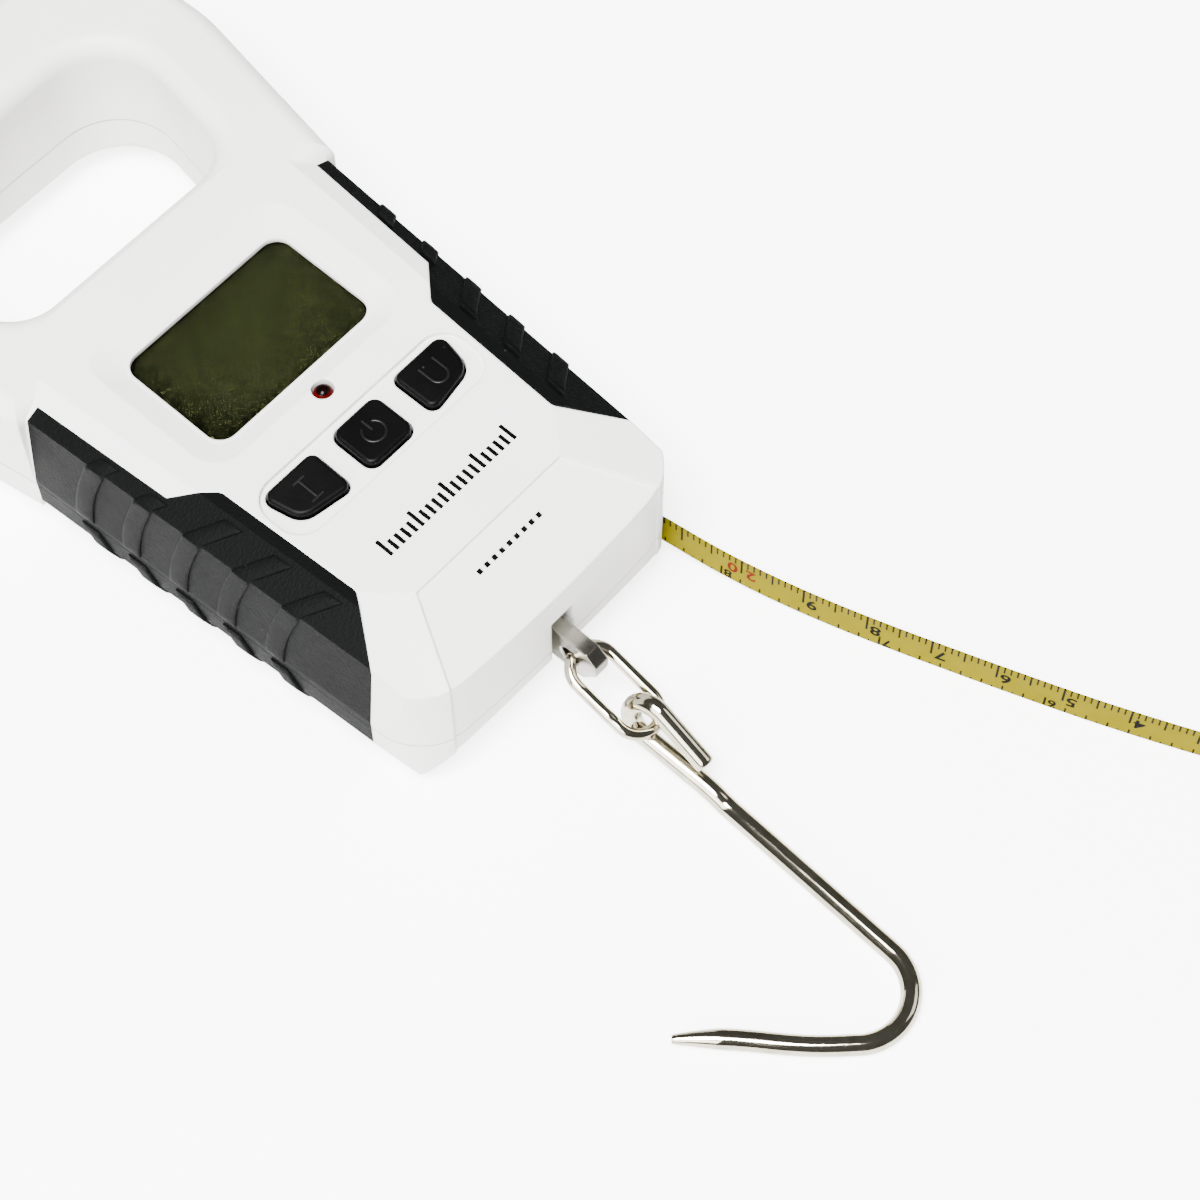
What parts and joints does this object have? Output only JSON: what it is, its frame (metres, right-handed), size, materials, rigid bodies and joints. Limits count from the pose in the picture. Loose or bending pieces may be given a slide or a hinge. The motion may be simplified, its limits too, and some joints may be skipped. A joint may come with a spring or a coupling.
{
  "type": "digital fish scale",
  "caption": "Hand-held digital hanging scale with a loop handle, display, three keys, a hook on a chain link and a pull-out tape measure.",
  "frame": {"origin": "on the centre line, on the flat back that the scale lies on, between the display and the keys' row", "axes": "+Z out of the display, +Y towards the loop handle, +X to the right seen from the front"},
  "size_m": [0.1823, 0.31, 0.0304],
  "materials": {
    "white_shell": "satin",
    "black_grip": "matte",
    "black_key": "matte",
    "clear_window": "gloss",
    "display_face": "gloss",
    "dark_plastic": "matte",
    "lamp_lens": "gloss",
    "board_green": "satin",
    "switch_body": "satin",
    "zebra_rubber": "matte",
    "cell_alloy": "machined",
    "plated_steel": "plated",
    "plain_steel": "brushed",
    "battery_wrap": "gloss",
    "tape_yellow": "satin",
    "reel_plastic": "satin",
    "spring_steel": "satin"
  },
  "bodies": {
    "root": {"front_housing": "white_shell", "rear_housing": "white_shell", "left_grip_front": "black_grip", "left_grip_rear": "black_grip", "right_grip_front": "black_grip", "right_grip_rear": "black_grip", "display_window": "clear_window", "display_panel": "display_face", "display_holder": "dark_plastic", "display_connectors": "zebra_rubber", "circuit_board": "board_green", "board_screws": "plain_steel", "lamp": "lamp_lens", "buzzer": "dark_plastic", "key_switches": "switch_body", "key_mat": "black_key", "load_cell": "cell_alloy", "anchor_plate": "plain_steel", "anchor_screws": "plain_steel", "pull_eye": "plain_steel", "eye_screw": "plain_steel", "eye_nut": "plain_steel", "battery_1": "battery_wrap", "battery_2": "battery_wrap", "battery_contacts": "plain_steel", "battery_springs": "spring_steel", "reel_spindle": "plain_steel", "reel_spring": "spring_steel", "reel_cover": "reel_plastic", "tape": "tape_yellow", "tape_end_tab": "dark_plastic", "housing_screws": "plain_steel"},
    "key_left": {"key_left": "black_key"},
    "key_middle": {"key_middle": "black_key"},
    "key_right": {"key_right": "black_key"},
    "link": {"chain_link": "plated_steel"},
    "hook": {"hook": "plated_steel"},
    "door": {"battery_door": "white_shell"},
    "reel": {"tape_reel": "reel_plastic", "wound_tape": "tape_yellow"}
  },
  "joints": [
    {"name": "key_left_press", "type": "slide", "parent": "root", "child": "key_left", "axis": [0, 0, -1], "range_m": [0, 0.0008], "stiffness_N_per_m": 400},
    {"name": "key_middle_press", "type": "slide", "parent": "root", "child": "key_middle", "axis": [0, 0, -1], "range_m": [0, 0.0008], "stiffness_N_per_m": 400},
    {"name": "key_right_press", "type": "slide", "parent": "root", "child": "key_right", "axis": [0, 0, -1], "range_m": [0, 0.0008], "stiffness_N_per_m": 400},
    {"name": "link_swing", "type": "hinge", "parent": "root", "child": "link", "pos_m": [0, -0.0474, 0.012], "axis": [1, 0, 0], "range_deg": [-40, 45]},
    {"name": "hook_swing", "type": "hinge", "parent": "link", "child": "hook", "pos_m": [0, -0.062, 0.00743], "axis": [1, 0, 0], "range_deg": [-30, 60]},
    {"name": "door_slide", "type": "slide", "parent": "root", "child": "door", "axis": [0, 1, 0], "range_m": [0, 0.012]},
    {"name": "reel_spin", "type": "hinge", "parent": "root", "child": "reel", "pos_m": [0.015, -0.027, 0.007], "axis": [0, 0, 1], "range_deg": [-1500, 6300]}
  ]
}
